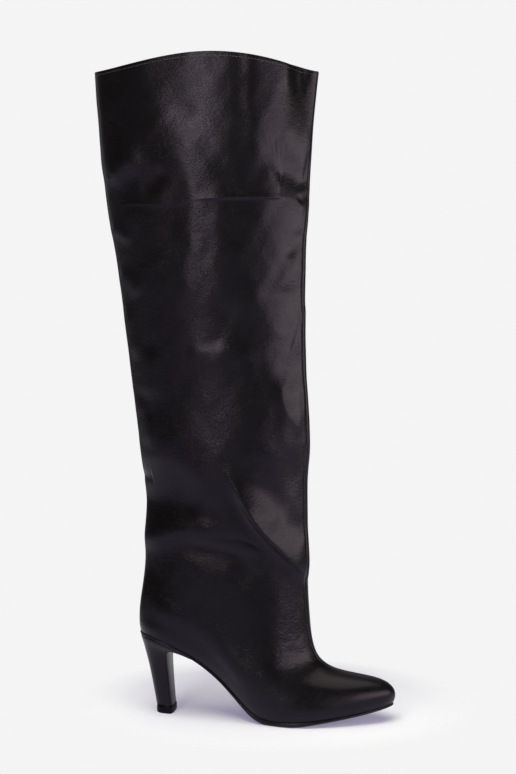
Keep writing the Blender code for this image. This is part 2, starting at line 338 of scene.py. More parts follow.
# %% Tables of the upper, in millimetres
BOTTOM_COLUMNS = ("x", "feather_z", "under_z")
BOTTOM = (
    (-99.5, 78, 75.8),
    (-90, 77.5, 75.2),
    (-80, 75.1, 72.7),
    (-68.5, 70.6, 68),
    (-57, 65.2, 62.4),
    (-47, 59.6, 56.6),
    (-38, 53.6, 50.4),
    (-27, 45, 41.5),
    (-18, 36.8, 33.1),
    (-10, 28.8, 24.9),
    (0, 18.8, 14.5),
    (10, 10.4, 5.6),
    (22, 5.6, 0.4),
    (34, 4.7, -0.2),
    (47, 5, -0.1),
    (61, 6, 1.3),
    (75, 7.3, 3.6),
    (92, 9.3, 6.2),
    (110, 12, 9.2),
    (125, 14.7, 12),
    (138, 17.2, 14.6),
)
PROFILE_COLUMNS = ("front_x", "front_z", "back_x", "back_z", "dip")
PROFILE = (
    (138, 17.2, -99.5, 78, 1),
    (139.8, 21.2, -100.2, 81.2, 1),
    (140, 25.6, -100.6, 84.4, 1),
    (138, 30.4, -100.7, 87.6, 1),
    (133, 34.9, -100.7, 91, 1),
    (124.5, 38.6, -100.6, 94.6, 1),
    (112.5, 41.2, -100.4, 98.4, 1),
    (99.5, 43.3, -100, 102.4, 1),
    (87, 46.1, -99.5, 107, 1),
    (76.8, 50.6, -98.8, 112.4, 0.99),
    (69.2, 57.4, -97.8, 119, 0.96),
    (64.6, 67, -96.7, 127.2, 0.90),
    (61.9, 80, -95.5, 137, 0.80),
    (60.3, 97, -94.6, 149, 0.64),
    (58.9, 118, -94, 163, 0.45),
    (58, 142, -93.9, 179, 0.27),
    (57.5, 168, -94.6, 198, 0.13),
    (57.4, 196, -95.9, 220, 0.05),
    (57.5, 226, -97.9, 244, 0.01),
    (57.5, 256, -100.5, 269, 0),
    (56.9, 288, -104, 296, 0),
    (56.1, 322, -108, 326, 0),
    (55.4, 358, -112, 359, 0),
    (55.2, 395, -116.4, 395, 0),
    (56, 432, -121.6, 432, 0),
    (58, 468, -128, 468, 0),
    (60, 503, -132.6, 503, 0),
    (62, 536, -135.8, 536, 0),
    (64.8, 567, -138, 567.5, 0),
    (67.8, 594.4, -139.6, 595.4, 0),
)
# Each row of widths: the loop's number, then its half width at the heel, seat, waist, ball, vamp and
# tip, which are the places along it from back (0) to front (1).
PLACES = (0.0, 0.12, 0.35, 0.62, 0.85, 1.0)
WIDTHS = (
    (0, 56.5, 41.5, 23.5, 39.5, 38, 35),
    (2, 58, 44, 27.5, 42.5, 40.5, 37),
    (5, 54, 43.5, 31.5, 42, 40, 38),
    (8, 49, 42, 33.5, 39.5, 42.5, 38),
    (11, 44, 39.5, 34.5, 37, 42, 38.5),
    (14, 36, 36, 34.5, 35, 37, 37),
    (17, 32, 33.5, 34.5, 34.5, 34.5, 34),
    (21, 32, 35, 37, 37, 36, 34),
    (25, 33.5, 37, 39.5, 39.5, 38, 35),
    (29, 35, 38, 40.5, 40.5, 39, 36),
)
# How far the last's middle bends to the inner side at the same places, and the rows over which that
# fades. Then the collar's rise at the sides, the height over which it fades, and its shape.
BEND = (0.0, -0.3, -1.5, -1.2, 1.6, 3.5)
BEND_ROWS = 12
COLLAR_RISE, COLLAR_FADE = 16.5, 85.0
COLLAR_SKEW, COLLAR_HUMP = 1.2, 1.3
WALL = 1.8
TOP_ROW = len(PROFILE) - 1
print(len(PROFILE), "loops from the sole to the collar")

# %% Smooth curves through the tables
def natural_cubic(places, values):
    """The smooth curve through a table: piecewise cubics whose second derivatives solve the usual
    three-term system. Values may have several columns; the curve then gives them all."""
    x = np.asarray(places, float)
    y = np.asarray(values, float)
    wide = y.reshape(len(x), -1)
    step = np.diff(x)
    slope = np.diff(wide, axis=0) / step[:, None]
    system = np.eye(len(x))
    middle = np.arange(1, len(x) - 1)
    system[middle, middle - 1] = step[:-1]
    system[middle, middle] = 2 * (step[:-1] + step[1:])
    system[middle, middle + 1] = step[1:]
    right = np.zeros_like(wide)
    right[1:-1] = 6 * np.diff(slope, axis=0)
    second = np.linalg.solve(system, right)

    def curve(at):
        at = np.clip(at, x[0], x[-1])
        i = np.clip(np.searchsorted(x, at) - 1, 0, len(step) - 1)
        length = step[i][..., None]
        a = (x[i + 1] - at)[..., None] / length
        b = 1 - a
        bow = ((a**3 - a) * second[i] + (b**3 - b) * second[i + 1]) * length**2 / 6
        found = a * wide[i] + b * wide[i + 1] + bow
        return found if y.ndim > 1 else found[..., 0]

    return curve


def columns(rows, names, key=None):
    """Each column of a table as a curve over the key column, or over the row's number."""
    values = np.array(rows, float)
    places = np.arange(len(rows)) if key is None else values[:, names.index(key)]
    return {name: natural_cubic(places, values[:, i]) for i, name in enumerate(names)}


bottom = columns(BOTTOM, BOTTOM_COLUMNS, "x")
profile = columns(PROFILE, PROFILE_COLUMNS)
loop_widths = natural_cubic([row[0] for row in WIDTHS], [row[1:] for row in WIDTHS])
place_shares = natural_cubic(PLACES, np.eye(len(PLACES)))
sideways = natural_cubic(PLACES, BEND)
print("vamp at x 100 mm is", round(float(bottom["feather_z"](100.0)), 1), "mm over the floor")

# %% The smooth upper as one function
def smoothstep(low, high, value):
    """0 under low, 1 over high, and 3t^2 - 2t^3 between them."""
    t = np.clip((value - low) / (high - low), 0, 1)
    return t * t * (3 - 2 * t)


def loop_point(row, turn):
    """Row climbs from the feather line (0) to the collar; turn goes from the back (0) round the
    inner side to the front (pi) and on round the outer side. The share from back to front is
    (1 - cos turn) / 2, y is sin turn times the half width there, and z leans from the loop's back
    height to its front height, dips with the last's bottom, and rises at the collar's sides."""
    row, turn = np.broadcast_arrays(np.asarray(row, float), np.asarray(turn, float))
    share = (1 - np.cos(turn)) / 2
    side = {name: curve(row) for name, curve in profile.items()}
    x = side["back_x"] + (side["front_x"] - side["back_x"]) * share
    half = (loop_widths(row) * place_shares(share)).sum(axis=-1)
    fade = np.clip(1 - row / BEND_ROWS, 0, 1)
    y = np.sin(turn) * half + sideways(share) * fade**2 * (3 - 2 * fade)
    back_feather = bottom["feather_z"](side["back_x"])
    front_feather = bottom["feather_z"](side["front_x"])
    dip = bottom["feather_z"](x) - back_feather - (front_feather - back_feather) * share
    z = side["back_z"] + (side["front_z"] - side["back_z"]) * share + side["dip"] * dip
    skewed = share**COLLAR_SKEW
    hump = (4 * skewed * (1 - skewed)) ** COLLAR_HUMP
    climb = np.clip((z - PROFILE[-1][1] + COLLAR_FADE) / COLLAR_FADE, 0, 1)
    return np.stack([x, y, z + COLLAR_RISE * hump * climb**2], axis=-1)


MEASURED_TURNS = 57
measured = loop_point(np.arange(TOP_ROW + 1)[:, None], np.linspace(0, 2 * np.pi, MEASURED_TURNS))
tables_low, tables_high = measured.min(axis=(0, 1)), measured.max(axis=(0, 1))
frame_low, frame_high = (np.array(corner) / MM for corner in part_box("upper"))
SHIFT = (frame_low + frame_high) / 2 - (tables_low + tables_high) / 2
SHIFT[2] = 0.0
print("tables to frame", SHIFT.round(2), "height off by", (frame_high - tables_high).round(2))

# %% [markdown]
# ## Folds
# Folds tell how soft the leather is. A cloth simulation could make some, but seldom where this boot
# has them, and a sculpting brush leaves no numbers to adjust. So each fold is a line drawn on the
# leather with a soft ridge or trough along it. Its section is a bell curve, with one width on the left
# of the line and another on the right, so a fold can lean over as real ones do. It fades out towards
# both ends. All folds of a side are simply added up, and each point of the smooth upper moves along
# its normal by the sum.

# %% One fold
LINE_STEPS = 28
SOFT, SHARP = 2.0, 1.2


def rising(steps):
    """The running sum of steps, from 0."""
    return np.concatenate([np.zeros_like(steps[..., :1]), np.cumsum(steps, axis=-1)], axis=-1)


def travelled(line):
    """The distance along a line at each of its points: the running sum of its steps' lengths."""
    return rising(np.linalg.norm(np.diff(line, axis=-2), axis=-1))


def fold_height(x, z, power, height, left, right, fade, path):
    """height * exp(-(distance / width)^power) * ends, where the distance is to the smooth curve
    through the path's points, the width is the left or right one, and ends is a smoothstep over the
    share fade of the curve's length at both of its ends, or over two shares, for start and end."""
    path = np.array(path, float)
    along = travelled(path)
    at = np.linspace(0, along[-1], LINE_STEPS)
    line = natural_cubic(along, path)(at)
    reach = 3 * max(left, right)
    near = (x > line[:, 0].min() - reach) & (x < line[:, 0].max() + reach)
    near &= (z > line[:, 1].min() - reach) & (z < line[:, 1].max() + reach)
    raised = np.zeros_like(x)
    if not near.any():
        return raised
    px, pz = x[near], z[near]
    best = np.full(px.shape, np.inf)
    best_side, best_at = np.zeros_like(px), np.zeros_like(px)
    for i in range(LINE_STEPS - 1):
        (ax, az), (bx, bz) = line[i], line[i + 1]
        dx, dz = bx - ax, bz - az
        t = np.clip(((px - ax) * dx + (pz - az) * dz) / (dx * dx + dz * dz), 0, 1)
        ox, oz = px - ax - t * dx, pz - az - t * dz
        distance = ox * ox + oz * oz
        closer = distance < best
        best = np.where(closer, distance, best)
        best_side = np.where(closer, dx * oz - dz * ox, best_side)
        best_at = np.where(closer, (i + t) / (LINE_STEPS - 1), best_at)
    width = np.where(best_side > 0, left, right)
    rise, fall = np.broadcast_to(fade, 2)
    ends = smoothstep(0, rise, best_at) * smoothstep(0, fall, 1 - best_at)
    raised[near] = height * np.exp(-((np.sqrt(best) / width) ** power)) * ends
    return raised


print("a fold follows", LINE_STEPS, "points along its path")

# %% The folds of the outer side
# Each fold: its height, its widths on the left and right of its path, its fade, and the path in
# millimetres of (x, z). Left and right are those of a walk along the path, with the toe to the
# walker's right when the path climbs.
OUTER_FOLDS = {
    # over the knee
    "thigh_flat": (1.0, 26, 9, 0.2, ((-12, 493), (-8, 534), (-7, 567), (-8, 604), (-9, 660))),
    "thigh_edge": (1.8, 10, 13, 0.3, ((17, 500), (13, 550), (12, 610), (12, 690))),
    "thigh_dent": (-0.6, 16, 14, 0.4, ((-63, 542), (-60, 574), (-62, 610), (-63, 670))),
    "thigh_patch": (0.6, 14, 14, 0.4, ((-84, 560), (-70, 547), (-52, 533))),
    "knee_sweep": (
        1.7, 22, 13, 0.2,
        ((-78, 540), (-62, 530), (-47, 516), (-41, 500), (-39, 480), (-40, 450), (-43, 420), (-42, 370)),
    ),
    "knee_sweep_toe": (0.9, 12, 9, 0.3, ((-24, 512), (-18, 485), (-16, 450), (-21, 415), (-26, 380))),
    "back_sweep": (2.6, 16, 12, 0.35, ((-132, 494), (-110, 510), (-85, 524))),
    "back_bubble": (-1.6, 12, 9, 0.35, ((-96, 486), (-80, 494), (-66, 512))),
    "front_gutter": (
        -16.0, 14, 9, 0.5, ((53, 505), (56, 540), (58, 572), (60, 600), (64, 660), (68, 755)),
    ),
    "front_pocket": (-4.4, 22, 14, 0.36, ((26, 506), (37, 509), (49, 503), (60, 495), (70, 488))),
    "knee_notch": (-1.0, 4, 5, 0.3, ((50, 479), (56, 482), (64, 484))),
    # the calf
    "calf_flat": (0.4, 28, 12, 0.3, ((5, 365), (7, 417), (-5, 450))),
    "calf_swell": (0.8, 16, 10, 0.3, ((34, 350), (35, 370), (36, 395))),
    "calf_tuck_high": (0.8, 8, 8, 0.3, ((35, 395), (46, 414), (54, 428))),
    "calf_line": (1.1, 7, 16, 0.2, ((-50, 342), (-22, 343), (22, 341))),
    "back_pucker_high": (0.8, 7, 6, 0.3, ((-128, 456), (-114, 450), (-98, 443))),
    "back_pucker_low": (0.8, 8, 7, 0.3, ((-118, 414), (-106, 407), (-92, 392))),
    "back_rim": (1.2, 7, 7, 0.3, ((-98, 330), (-103, 355), (-110, 385))),
    "back_ridge_soft": (1.0, 10, 9, 0.3, ((-88, 295), (-84, 325), (-82, 350))),
    "back_ridge": (1.0, 8, 7, 0.3, ((-83, 250), (-90, 279), (-100, 302))),
    "shin_edge": (1.4, 16, 8, 0.35, ((34, 330), (40, 300), (44, 265), (46, 236))),
    "shin_hollow": (-1.1, 5, 6, 0.35, ((56, 456), (50, 444), (41, 426))),
    "shin_crease_high": (0.5, 8, 12, 0.3, ((41, 398), (44, 410), (49, 425), (55, 439))),
    # the ankle
    "ankle_shelf": (3.8, 66, 24, 0.5, ((-50, 240), (-10, 252), (28, 258), (110, 262))),
    "ankle_high": (
        3.4, 40, 18, 0.2,
        ((-108, 240), (-86, 247), (-56, 245), (-36, 235), (-20, 219), (-5, 200), (24, 168), (46, 148)),
    ),
    "ankle_low": (
        2.4, 12, 12, 0.25,
        ((-108, 158), (-86, 168), (-66, 177), (-50, 181), (-32, 181), (-14, 177), (0, 171)),
    ),
    "ankle_second": (-1.8, 5, 14, 0.25, ((-62, 166), (-34, 164), (-7, 159), (22, 150))),
    "ankle_hollow": (-2.0, 20, 16, 0.3, ((-110, 200), (-70, 203), (-30, 200))),
    "ankle_pocket": (-2.0, 13, 11, 0.3, ((12, 233), (23, 216), (35, 198), (46, 181), (56, 165))),
    "ankle_groove": (
        -1.5, 4, 10, 0.3, ((-14, 226), (-4, 206), (7, 187), (20, 171), (36, 155), (52, 140)),
    ),
    "throat": (0.5, 12, 8, 0.4, ((68, 46), (60, 66), (57, 88))),
    "rand": (
        1.5, 14, 12, 0.15,
        ((-96, 106), (-62, 98), (-35, 82), (-12, 62), (10, 48), (40, 41), (80, 36), (118, 32), (142, 28)),
    ),
    "ankle_soft": (-0.8, 10, 10, 0.3, ((-4, 126), (6, 137), (16, 148))),
    "back_notch": (-0.8, 5, 5, 0.1, ((-97, 224), (-84, 226))),
}
OUTER_CREASES = {
    "knee_line": (
        1.3, 4.5, 1.1, 0.3,
        ((-42, 481), (-28, 481.8), (-14, 482.5), (2, 483), (19, 483), (48, 482)),
    ),
    "knee_line_back": (0.4, 4, 1.8, 0.35, ((-122, 474), (-92, 477), (-62, 476), (-34, 480))),
    "calf_tuck": (1.4, 12, 1.6, (0.2, 0.4), ((57, 390), (53, 374), (49, 358), (45, 343), (41, 328))),
    "calf_turn": (1.5, 15, 9, 0.35, ((44, 330), (38, 314), (37, 300), (43, 284), (55, 264))),
    "ankle_main": (
        7.8, 19, 4.5, (0.42, 0.28),
        (
            (-16, 246), (-8, 230), (-1, 216), (5, 205), (14, 189), (26, 173), (39, 157), (50, 145),
            (60, 132), (66, 124),
        ),
    ),
    "ankle_line": (-0.6, 3, 3, 0.25, ((-34, 175), (-18, 173), (1, 172), (23, 161))),
}
print(len(OUTER_FOLDS), "soft folds and", len(OUTER_CREASES), "sharp creases outside")

# %% The folds of the inner side
# The inner side wasn't pulled as hard, so its folds are fewer and softer.
INNER_FOLDS = {
    "back_sweep": (1.8, 16, 12, 0.35, ((-126, 494), (-104, 506), (-78, 518))),
    "knee_sweep": (1.4, 22, 15, 0.25, ((-72, 545), (-52, 520), (-43, 480), (-42, 420), (-38, 370))),
    "front_dent": (-2.4, 12, 7, 0.5, ((50, 520), (52, 560), (54, 610), (58, 680))),
    "calf_swell": (0.9, 18, 12, 0.3, ((28, 310), (32, 350), (33, 400))),
    "back_pucker": (0.9, 8, 7, 0.3, ((-120, 430), (-104, 422), (-88, 410))),
    "ankle_shelf": (3.2, 52, 24, 0.5, ((-60, 236), (-10, 246), (28, 250), (110, 254))),
    "ankle_high": (
        2.8, 36, 16, 0.25, ((-100, 230), (-70, 236), (-40, 226), (-12, 204), (18, 176), (44, 150)),
    ),
    "ankle_low": (2.0, 12, 12, 0.25, ((-104, 160), (-80, 170), (-56, 175), (-30, 171), (-4, 160))),
    "ankle_hollow": (-1.6, 18, 14, 0.3, ((-106, 196), (-70, 199), (-34, 196))),
    "rand": (
        1.3, 14, 12, 0.15, ((-96, 106), (-62, 98), (-35, 82), (-12, 62), (10, 48), (40, 41), (80, 36)),
    ),
}
INNER_CREASES = {
    "knee_line": (1.1, 7.0, 3.0, 0.4, ((-66, 478), (-28, 481), (0, 482), (40, 481))),
    "ankle_main": (
        3.8, 17, 7, (0.5, 0.35),
        ((-30, 262), (-12, 234), (4, 208), (20, 184), (38, 162), (54, 143), (64, 128)),
    ),
}
print(len(INNER_FOLDS), "soft folds and", len(INNER_CREASES), "sharp creases inside")

# %% All folds together
SIDE_BLEND = 7.0
SLACK, SLACK_FROM, SLACK_FULL, SLACK_INSIDE = 0.7, 60.0, 160.0, 0.4
# Each wave: height, length across, length up, start.
SLACK_WAVES = (
    (0.22, 71, 113, 0.6),
    (0.16, -53, 83, 2.1),
    (0.12, 37, -67, 4),
    (0.08, 29, 41, 1.2),
    (0.06, -23, 31, 5.1),
)


def slack(x, y, z):
    """The broad unevenness of a slack shaft: a few long waves that cross each other, weaker over the
    last's firm foot."""
    total = np.zeros_like(x)
    for height, across, up, start in SLACK_WAVES:
        total += height * np.sin(2 * np.pi * ((x + y) / across + z / up) + start)
    return SLACK * total * smoothstep(SLACK_FROM, SLACK_FULL, z)


def folds(points):
    """The sum of the outer side's folds and of the inner side's, each at its own side of the boot
    and blended into the other over a few millimetres at the front and back edges."""
    x, y, z = np.moveaxis(points, -1, 0)
    inner_share = smoothstep(-SIDE_BLEND, SIDE_BLEND, y)
    total = slack(x, y, z) * (1 - (1 - SLACK_INSIDE) * inner_share)
    for table, power, share in (
        (OUTER_FOLDS, SOFT, 1 - inner_share),
        (OUTER_CREASES, SHARP, 1 - inner_share),
        (INNER_FOLDS, SOFT, inner_share),
        (INNER_CREASES, SHARP, inner_share),
    ):
        for row in table.values():
            total += share * fold_height(x, z, power, *row)
    return total


relief = folds(measured)
print("folds from", relief.min().round(1), "to", relief.max().round(1), "mm")

# %% The creased surface
NUDGE = 0.02
ROW_STEPS = 1200


def unit(vectors):
    """Each vector divided by its length."""
    return vectors / np.linalg.norm(vectors, axis=-1, keepdims=True)


def normal_at(row, turn):
    """The outward normal of the smooth upper: the cross product of a short step up the rows and a
    short step round the loop."""
    up = loop_point(row + NUDGE, turn) - loop_point(row - NUDGE, turn)
    round_ = loop_point(row, turn + NUDGE) - loop_point(row, turn - NUDGE)
    across = np.cross(up, round_)
    return unit(across)


def surface(row, turn, inwards=0.0):
    """smooth + normal * (folds - inwards): the creased upper, or the lining inside it."""
    smooth = loop_point(row, turn)
    return smooth + normal_at(row, turn) * (folds(smooth) - inwards)[..., None]


def evenly(risen, count):
    """The places where a rising sum passes evenly spaced values, as shares of its own index."""
    return np.interp(np.linspace(0, risen[-1], count), risen, np.linspace(0, 1, len(risen)))


# Where sharp creases cross the shaft: height, reach and how much closer the rows lie, in millimetres.
CLOSE_ROWS = ((483, 8, 1.6), (165, 45, 0.5), (351, 8, 0.5))


def even_rows(count):
    """Rows at even distances, measured where the loops lie furthest apart, and closer by
    1 + more * exp(-((z - height) / reach)^2) at the creases."""
    fine = np.linspace(0, TOP_ROW, ROW_STEPS)
    lines = loop_point(fine[:, None], np.array([0, 1.5 * np.pi, np.pi]))
    steps = np.linalg.norm(np.diff(lines, axis=0), axis=-1).max(axis=1)
    side_z = lines[1:, 1, 2]
    steps *= 1 + sum(more * np.exp(-(((side_z - z) / reach) ** 2)) for z, reach, more in CLOSE_ROWS)
    return TOP_ROW * evenly(rising(steps), count)


print("highest row", loop_point(TOP_ROW, 1.5 * np.pi).round(1))

# %% [markdown]
# ## Leather panels
# The upper is cut as two panels, an outer and an inner one, that meet in a seam down the front and
# another down the back. The front seam isn't exactly on the front edge: the slack shaft has turned
# it a little to the outer side. Where two panels are sewn face to face and opened out, each edge
# rolls over into the seam, so the surface dips in a narrow groove between two low shoulders.
#
# A line in the material could draw the seam, but it would vanish at the edge of the shape. So it is
# part of the panel's height, and the cells of the grid are narrow beside it and wider further off.

# %% Seams
# How far the front seam turns to the outer side at some of the rows, as an angle.
SEAM_LEAN = (
    (0, 0.0), (8, 0.0), (11, 0.12), (14, 0.19), (18, 0.20), (22, 0.19), (24, 0.16), (26, -0.02),
    (29, -0.12),
)
SEAM_DEPTH, SEAM_WIDTH = 1.0, 1.5
SHOULDER_HEIGHT, SHOULDER_PLACE, SHOULDER_WIDTH = 0.30, 3.2, 2.0
CALF_ROW, SHARE_STEPS = 22, 1500
CELL_AT_SEAM, CELL_GROWTH, CELL_WIDEST = 0.22, 0.22, 1.05

seam_lean = natural_cubic([row[0] for row in SEAM_LEAN], [row[1] for row in SEAM_LEAN])


def seam_height(distance):
    """-depth * (1 - d / width)^2 inside the groove, and a bell curve for the shoulder beside it."""
    groove = -SEAM_DEPTH * np.clip(1 - distance / SEAM_WIDTH, 0, 1) ** 2
    return groove + SHOULDER_HEIGHT * np.exp(-(((distance - SHOULDER_PLACE) / SHOULDER_WIDTH) ** 2))


def panel_turns(row, share, side):
    """From the front seam (share 0) to the back seam (share 1), round the outer or inner side."""
    front = np.pi + seam_lean(row)
    back = 2 * np.pi if side == "outer" else 0.0
    return front + (back - front) * share


def panel_shares(count):
    """Columns round a loop of the calf whose cells are narrow at the seams and widen away from them:
    width = at the seam + growth * distance, up to the widest, all in the same proportion."""
    share = np.linspace(0, 1, SHARE_STEPS)
    length = travelled(loop_point(CALF_ROW, panel_turns(CALF_ROW, share, "outer")))
    from_seam = np.minimum(length, length[-1] - length)
    density = 1 / np.clip(CELL_AT_SEAM + from_seam * CELL_GROWTH, CELL_AT_SEAM, CELL_WIDEST)
    steps = (density[1:] + density[:-1]) / 2 * np.diff(length)
    return evenly(rising(steps), count)


print("front seam leans", [round(math.degrees(float(seam_lean(row))), 1) for row in (0, 14, 29)], "deg")

# %% Points to pieces
def to_frame(points):
    """From the tables' millimetres to the frame's metres: (point + shift) / 1000."""
    return (np.asarray(points) + SHIFT) * MM


def new_piece(name, points, faces, slot, *nodes):
    """A mesh object that rides on the boot and may stand for CAD nodes. Its slot is not used."""
    mesh = bpy.data.meshes.new(name)
    mesh.from_pydata(to_frame(points).reshape(-1, 3).tolist(), [], faces)
    mesh.shade_smooth()
    made = bpy.data.objects.new(name, mesh)
    bpy.context.scene.collection.objects.link(made)
    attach(made, "root")
    if nodes:
        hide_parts(*nodes)
    print(name, len(mesh.vertices), "points,", len(mesh.polygons), "faces")
    return made


print("a point at the tables' origin lies at", to_frame((0, 0, 0)).round(5), "m")

# %% The two panels
PANEL_ROWS, PANEL_COLUMNS = 436, 208
HEM_DEPTH = 12.0
HEM_STEPS = 6
TUCK = 5.0


def rolled_edge(edge, outward, along, radius, tail):
    """Rows that carry an edge over a half round and on inwards for a tail: the round's points are
    edge + r sin(a) * along - r (1 - cos(a)) * outward, for a up to a half turn."""
    angle = np.linspace(0, np.pi, HEM_STEPS + 1)[1:, None, None]
    rolled = edge + radius * (np.sin(angle) * along - (1 - np.cos(angle)) * outward)
    return np.concatenate([rolled, rolled[-1:] - tail * along])


def leather_panel(side):
    """smooth + outward * (folds + seam), on rows and columns from seam to seam. The leather is folded
    in over the collar at the top, and tucked in under the last at the bottom."""
    row = even_rows(PANEL_ROWS)[:, None]
    share = panel_shares(PANEL_COLUMNS)
    turn = panel_turns(row, share, side)
    smooth = loop_point(row, turn)
    outward = normal_at(row, turn)
    length = travelled(smooth)
    from_seam = np.minimum(length, length[:, -1:] - length)
    points = smooth + outward * (folds(smooth) + seam_height(from_seam))[..., None]
    hem = rolled_edge(points[-1], outward[-1], unit(points[-1] - points[-3]), WALL / 2, HEM_DEPTH)
    tuck = rolled_edge(points[0], outward[0], unit(points[0] - points[2]), WALL / 2, TUCK)
    points = np.concatenate([tuck[::-1], points, hem])
    faces = grid_faces(len(points), PANEL_COLUMNS, flip=side == "inner")
    return new_piece(f"{side}_panel", points, faces, "leather", *(["upper"] if side == "outer" else []))


panels = [leather_panel(side) for side in ("outer", "inner")]

# %% [markdown]
# ## Lining
# Inside the leather hangs a thin cloth lining, which follows every fold of the shaft. The panels
# could get a thick wall instead, but cloth is dull where leather shines, so it is a piece of its own.
# It is the same surface function again, taken a little inwards and closed all round, with a real
# thickness from Solidify. Its top hides under the leather that is folded over the collar, and its
# bottom turns in under the insole, so no gap shows when you look down the shaft.

# %% Lining
LINING_ROWS, LINING_COLUMNS = 150, 160
LINING_DEPTH, LINING_CLOTH = 1.2, 0.6
LINING_TOP = TOP_ROW - 0.33
LINING_TURN_IN = (6.0, 4.0, 2.0)
UNDER_INSOLE = 0.15


def shaft_lining():
    """The creased surface taken inwards and closed all round, with rings under it that turn in. The
    cloth's thickness is a Solidify modifier."""
    row = even_rows(LINING_ROWS)[:, None] * (LINING_TOP / TOP_ROW)
    turn = np.linspace(0, 2 * np.pi, LINING_COLUMNS, endpoint=False)
    points = surface(row, turn, inwards=LINING_DEPTH)
    level = normal_at(0.0, turn) * (1, 1, 0)
    turned_in = points[0] - unit(level) * np.array(LINING_TURN_IN)[:, None, None] - (0, 0, UNDER_INSOLE)
    points = np.concatenate([turned_in, points])
    faces = grid_faces(len(points), LINING_COLUMNS, closed=True)
    made = new_piece("shaft_lining", points, faces, "lining")
    cloth = made.modifiers.new("cloth", "SOLIDIFY")
    cloth.thickness = LINING_CLOTH * MM
    cloth.offset = 1.0
    return made


lining = shaft_lining()

# %% [markdown]
# ## Stitches along the collar
# The folded leather is held by one row of fine stitches just under the collar. An Array modifier
# along a curve could lay them, but it wouldn't hold each one square to the creased leather. So one
# stitch is a tiny spindle, and all of them are one array: every stitch's own middle, its direction
# along the edge and its outward direction carry the same few points into place.

# %% Collar stitches
STITCHES_PER_SIDE = 86
COLLAR_STEPS = 2400
STITCH_LENGTH, STITCH_RADIUS = 2.1, 0.26
STITCH_ENDS = (0.12, 0.88)
STITCH_RINGS, STITCH_AROUND = 5, 8
# How far the row of stitches lies under the collar, in rows of the table, and its first turn.
STITCH_DROP, STITCH_START = 0.085, 0.004


def spindle():
    """x = half the length * cos a, and a circle of radius * sin a round it, for a between the two
    ends, which are closed by small caps."""
    a = np.linspace(*STITCH_ENDS, STITCH_RINGS)[:, None] * np.pi
    b = np.linspace(0, 2 * np.pi, STITCH_AROUND, endpoint=False)
    x = STITCH_LENGTH / 2 * np.cos(a) + 0 * b
    return np.stack([x, STITCH_RADIUS * np.sin(a) * np.cos(b), STITCH_RADIUS * np.sin(a) * np.sin(b)], -1)


def collar_stitches():
    """middle + x along + y across + z outward for each point (x, y, z) of the spindle, with the
    middles at even distances round the collar."""
    row = TOP_ROW - STITCH_DROP
    length = travelled(surface(row, np.linspace(0, 2 * np.pi, COLLAR_STEPS)))
    turn = 2 * np.pi * evenly(length, 2 * STITCHES_PER_SIDE + 1)[:-1] + STITCH_START
    along = unit(surface(row, turn + NUDGE / 2) - surface(row, turn - NUDGE / 2))
    outward = normal_at(np.full_like(turn, row), turn)
    across = np.cross(outward, along)
    one = spindle().reshape(-1, 3)
    points = surface(row, turn)[:, None] + sum(
        one[:, i, None] * side[:, None] for i, side in enumerate((along, across, outward))
    )
    sides = np.array(grid_faces(STITCH_RINGS, STITCH_AROUND, closed=True, flip=True))
    ring = np.arange(STITCH_AROUND)
    caps = np.stack([ring, len(one) - 1 - ring])
    each = np.arange(len(turn))[:, None, None] * len(one)
    faces = (sides + each).reshape(-1, 4).tolist() + (caps + each).reshape(-1, STITCH_AROUND).tolist()
    return new_piece("collar_stitches", points, faces, "leather")


stitches = collar_stitches()

# %% [markdown]
# ## Sole and insole
# Both follow the feather line, where the leather meets the sole, and both curve with the bottom of
# the last. A flat plate with a Bevel could be bent to that curve, but its edge would stay a plain
# round. So the edge is a short profile carried round the outline: each point of the profile says how
# far out it lies and how high in the sole's thickness. The profile rounds the corners, and gives the
# outsole the fine line that a shoemaker's wheel presses along its edge.

# %% Outline and caps
SOLE_STATIONS = 300


def turns(count):
    """Even turns round a loop, from 0 up to the one before a whole turn."""
    return 2 * np.pi * np.arange(count) / count


def outline(out):
    """The feather line in plan, moved out: the loop at row 0 plus out * (-cos turn, sin turn)."""
    turn = turns(SOLE_STATIONS)
    line = loop_point(0.0, turn)
    return line[:, 0] - out * np.cos(turn), line[:, 1] + out * np.sin(turn)


def strip_cap(first, around, flip=False):
    """Faces across a ring that mirrors itself, between a pair of points and the pair opposite."""
    here = np.arange(around // 2)
    pair = np.stack([here, here + 1, around - here - 1, (around - here) % around], axis=-1) + first
    faces = (pair[:, ::-1] if flip else pair).tolist()
    return [[corner for i, corner in enumerate(face) if corner not in face[:i]] for face in faces]


def capped_stack(name, rings, slot, *nodes):
    """A piece of closed rings, one joined to the next, with a cap over the first and the last."""
    count, around = rings.shape[:2]
    faces = grid_faces(count, around, closed=True)
    faces += strip_cap(0, around, flip=True)
    faces += strip_cap((count - 1) * around, around)
    return new_piece(name, rings, faces, slot, *nodes)


print("the outline is", np.ptp(outline(0.0)[0]).round(1), "mm long")

# %% The two slabs
GAP = 0.3
SOLE_MARGIN = 0.6
INSOLE_INSET, INSOLE_THICK = 3.2, 2.2
# Each point of an edge: how far out it lies, and its share of the thickness.
SOLE_EDGE = (
    (-9.0, 0.0), (-2.0, 0.0), (-0.8, 0.05), (-0.15, 0.16), (0.0, 0.32), (0.0, 0.48), (-0.12, 0.54),
    (-0.45, 0.58), (-0.45, 0.62), (-0.05, 0.66), (0.0, 0.70), (-0.5, 0.90), (-0.8, 0.99), (-1.3, 1.0),
    (-7.0, 1.0),
)
INSOLE_EDGE = (
    (-7.0, 0.0), (-0.8, 0.0), (-0.15, 0.14), (0.0, 0.4), (-0.1, 0.7), (-0.5, 0.93), (-1.3, 1.0),
    (-7.0, 1.0),
)


